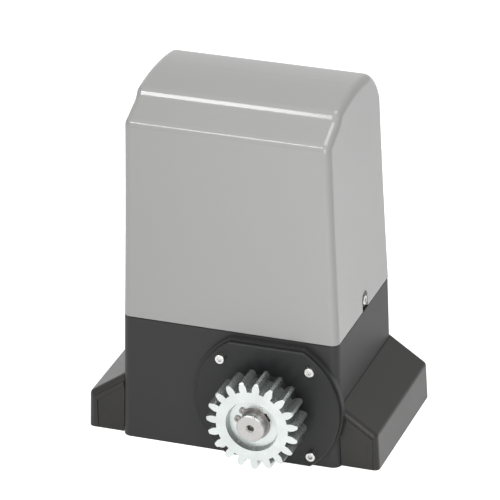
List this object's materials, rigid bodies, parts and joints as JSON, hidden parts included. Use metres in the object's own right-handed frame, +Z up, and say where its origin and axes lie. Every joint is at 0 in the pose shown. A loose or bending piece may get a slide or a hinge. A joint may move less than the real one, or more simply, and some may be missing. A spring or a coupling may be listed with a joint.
{
  "type": "sliding gate motor",
  "caption": "Upright sliding gate motor with a drafted cover on a cast base, side bolt covers and a spur pinion on its output shaft.",
  "frame": {"origin": "on the ground, at the centre of the four anchor slots under the base", "axes": "+Z up, +Y from the pinion side to the back, +X to the right seen from the pinion side, along the gate's travel"},
  "size_m": [0.2714, 0.1993, 0.327],
  "materials": {
    "silver_plastic": "satin moulded plastic, silver grey",
    "black_coat": "satin powder coat on die-cast aluminium",
    "black_plastic": "fine-grained moulded plastic",
    "zinc_steel": "bright zinc plate",
    "turned_steel": "turned and ground steel",
    "screw_steel": "bright zinc-plated fasteners",
    "spring_steel": "phosphated spring steel",
    "bronze": "cut bronze",
    "bare_aluminium": "as cast and extruded",
    "sheet_steel": "zinc-plated sheet",
    "laminations": "stacked electrical steel",
    "enamelled_copper": "enamelled winding wire",
    "board_green": "solder mask",
    "terminal_green": "moulded terminal",
    "capacitor_grey": "moulded can",
    "capacitor_sleeve": "shrink sleeve",
    "rubber": "moulded rubber",
    "fuse_glass": "moulded holder"
  },
  "bodies": {
    "root": {"base_housing": "black_coat", "fixing_feet": "bare_aluminium", "foot_screws": "screw_steel", "gearcase": "bare_aluminium", "release_tray": "black_plastic", "base_floor": "black_coat", "deck_posts": "bare_aluminium", "flange_plate": "black_coat", "flange_screws": "screw_steel", "shaft_seal": "rubber", "bearing_front": "turned_steel", "bearing_rear": "turned_steel", "gearcase_cover": "bare_aluminium", "gearcase_screws": "screw_steel", "oil_plug": "bronze", "levelling_screws": "spring_steel", "cable_grommet": "rubber", "earth_screw": "bronze", "cover_screws": "screw_steel", "motor_flange": "bare_aluminium", "motor_housing": "bare_aluminium", "motor_cap": "bare_aluminium", "motor_bolts": "screw_steel", "stator_core": "laminations", "stator_windings": "enamelled_copper", "worm_bearing_lower": "turned_steel", "worm_bearing_upper": "turned_steel", "rotor_bearing_top": "turned_steel", "deck_plate": "sheet_steel", "deck_screws": "screw_steel", "board_bracket": "black_plastic", "circuit_board": "board_green", "board_screws": "screw_steel", "relays": "black_plastic", "terminal_blocks": "terminal_green", "fuse_holder": "fuse_glass", "board_capacitors": "capacitor_sleeve", "transformer": "laminations", "run_capacitor": "capacitor_grey", "capacitor_clamp": "sheet_steel", "limit_sensor": "black_plastic", "rim_gasket": "rubber", "release_pin": "turned_steel"},
    "output": {"output_shaft": "turned_steel", "pinion": "zinc_steel", "pinion_key": "turned_steel", "pinion_circlip": "spring_steel", "worm_wheel": "bronze", "wheel_key": "turned_steel"},
    "rotor": {"worm_shaft": "turned_steel", "rotor_core": "laminations"},
    "cover": {"top_cover": "silver_plastic"},
    "foot_cap_left": {"foot_cover_left": "black_plastic"},
    "foot_cap_right": {"foot_cover_right": "black_plastic"},
    "lever": {"release_lever": "black_plastic"},
    "lock": {"lock_barrel": "screw_steel"}
  },
  "joints": [
    {"name": "rotor_spin", "type": "hinge", "parent": "root", "child": "rotor", "pos_m": [-0.0155, -0.012, 0.15], "axis": [0, 0, 1], "continuous": true},
    {"name": "output_spin", "type": "hinge", "parent": "root", "child": "output", "pos_m": [0.037, -0.105, 0.054], "axis": [0, 1, 0], "continuous": true},
    {"name": "cover_lift", "type": "slide", "parent": "root", "child": "cover", "axis": [0, 0, 1], "range_m": [0, 0.22]},
    {"name": "foot_cap_left_pull", "type": "slide", "parent": "root", "child": "foot_cap_left", "axis": [-1, 0, 0], "range_m": [0, 0.05]},
    {"name": "foot_cap_right_pull", "type": "slide", "parent": "root", "child": "foot_cap_right", "axis": [1, 0, 0], "range_m": [0, 0.05]},
    {"name": "lever_swing", "type": "hinge", "parent": "root", "child": "lever", "pos_m": [0.0558, 0.0708, 0.073], "axis": [0, 0, -1], "range_deg": [0, 90]},
    {"name": "lock_turn", "type": "hinge", "parent": "lever", "child": "lock", "pos_m": [0.009, 0.071, 0.073], "axis": [0, 1, 0], "range_deg": [0, 90]}
  ],
  "couplings": [
    {"joint": "output_spin", "follows": "rotor_spin", "ratio": -0.035714}
  ]
}
